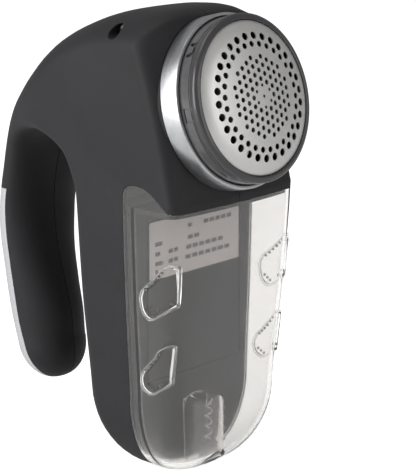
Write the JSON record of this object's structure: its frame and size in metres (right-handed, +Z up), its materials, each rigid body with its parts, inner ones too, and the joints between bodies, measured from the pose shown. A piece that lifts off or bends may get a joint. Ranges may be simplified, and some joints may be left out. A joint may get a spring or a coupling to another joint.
{
  "type": "fabric shaver",
  "caption": "Battery fabric shaver with a tilted round foil head, a clear lint bin in front and a hooked handle arching over the back.",
  "frame": {"origin": "middle of the bounding box, at the level of the lowest point", "axes": "+Z up along the body, -Y towards the side that the shaving head faces, X across between the two housing halves"},
  "size_m": [0.075, 0.1469, 0.1949],
  "materials": {
    "housing_plastic": "soft-touch matt charcoal",
    "collar_chrome": "satin silver",
    "guard_plastic": "dark gloss",
    "foil_steel": "fine satin",
    "inner_plastic": "moulded",
    "blade_steel": "ground",
    "clear_plastic": "clear light smoke",
    "label_paper": "printed sticker, plain bars",
    "cover_silver": "silver gloss",
    "screw_steel": "dark zinc",
    "spring_steel": "wire",
    "cell_jacket": "printed jacket",
    "motor_steel": "drawn can",
    "winding_copper": "enamelled copper",
    "tip_plastic": "pale nylon",
    "wire_red": "insulation",
    "wire_black": "insulation"
  },
  "bodies": {
    "housing": {"housing_left": "housing_plastic", "housing_right": "housing_plastic", "housing_screw": "screw_steel", "bin_wall_panel": "inner_plastic", "rating_label": "label_paper", "battery_tray": "inner_plastic", "cell_1": "cell_jacket", "cell_2": "cell_jacket", "cell_3": "cell_jacket", "cell_4": "cell_jacket", "cell_spring_1": "spring_steel", "cell_spring_2": "spring_steel", "cell_spring_3": "spring_steel", "cell_spring_4": "spring_steel", "handle_cover": "cover_silver", "switch_body": "inner_plastic", "wire_positive": "wire_red", "wire_negative": "wire_black", "head_collar": "collar_chrome", "cutting_chamber": "inner_plastic", "lint_duct": "inner_plastic", "motor_can": "motor_steel", "motor_end_cap": "inner_plastic", "motor_mount": "inner_plastic", "motor_screw_1": "screw_steel", "motor_screw_2": "screw_steel"},
    "battery_door": {"battery_door": "housing_plastic"},
    "switch_slider": {"switch_slider": "guard_plastic"},
    "lint_bin": {"lint_bin": "clear_plastic", "bin_catch_spring": "spring_steel"},
    "bin_catch": {"bin_catch": "guard_plastic"},
    "guard_ring": {"guard_ring": "guard_plastic"},
    "foil_cap": {"foil_rim": "guard_plastic", "foil": "foil_steel"},
    "rotor": {"drive_shaft": "blade_steel", "motor_armature": "winding_copper", "cutter_spring": "spring_steel"},
    "cutter": {"cutter_disc": "inner_plastic", "cutter_blade_1": "blade_steel", "cutter_blade_2": "blade_steel", "cutter_blade_3": "blade_steel", "cutter_tip": "tip_plastic"}
  },
  "joints": [
    {"name": "cutter_spin", "type": "hinge", "parent": "housing", "child": "rotor", "pos_m": [0, -0.0678, 0.1619], "axis": [0, -0.9711, 0.2385], "continuous": true},
    {"name": "cutter_float", "type": "slide", "parent": "rotor", "child": "cutter", "axis": [0, 0.9711, -0.2385], "range_m": [0, 0.0008], "stiffness_N_per_m": 600, "springref_m": -0.002},
    {"name": "guard_turn", "type": "hinge", "parent": "housing", "child": "guard_ring", "pos_m": [0, -0.0678, 0.1619], "axis": [0, -0.9711, 0.2385], "range_deg": [0, 20]},
    {"name": "foil_pull", "type": "slide", "parent": "guard_ring", "child": "foil_cap", "axis": [0, -0.9711, 0.2385], "range_m": [0, 0.025]},
    {"name": "bin_pull", "type": "slide", "parent": "housing", "child": "lint_bin", "axis": [0, -0.342, -0.9397], "range_m": [0, 0.06]},
    {"name": "bin_catch_press", "type": "slide", "parent": "lint_bin", "child": "bin_catch", "axis": [0, 0, 1], "range_m": [0, 0.002], "stiffness_N_per_m": 500, "springref_m": -0.002, "deforming": ["bin_catch_spring"]},
    {"name": "battery_door_lift", "type": "slide", "parent": "housing", "child": "battery_door", "axis": [0, 1, 0], "range_m": [0, 0.025]},
    {"name": "power_switch", "type": "slide", "parent": "housing", "child": "switch_slider", "axis": [0, 0.682, -0.7314], "range_m": [0, 0.005]}
  ]
}
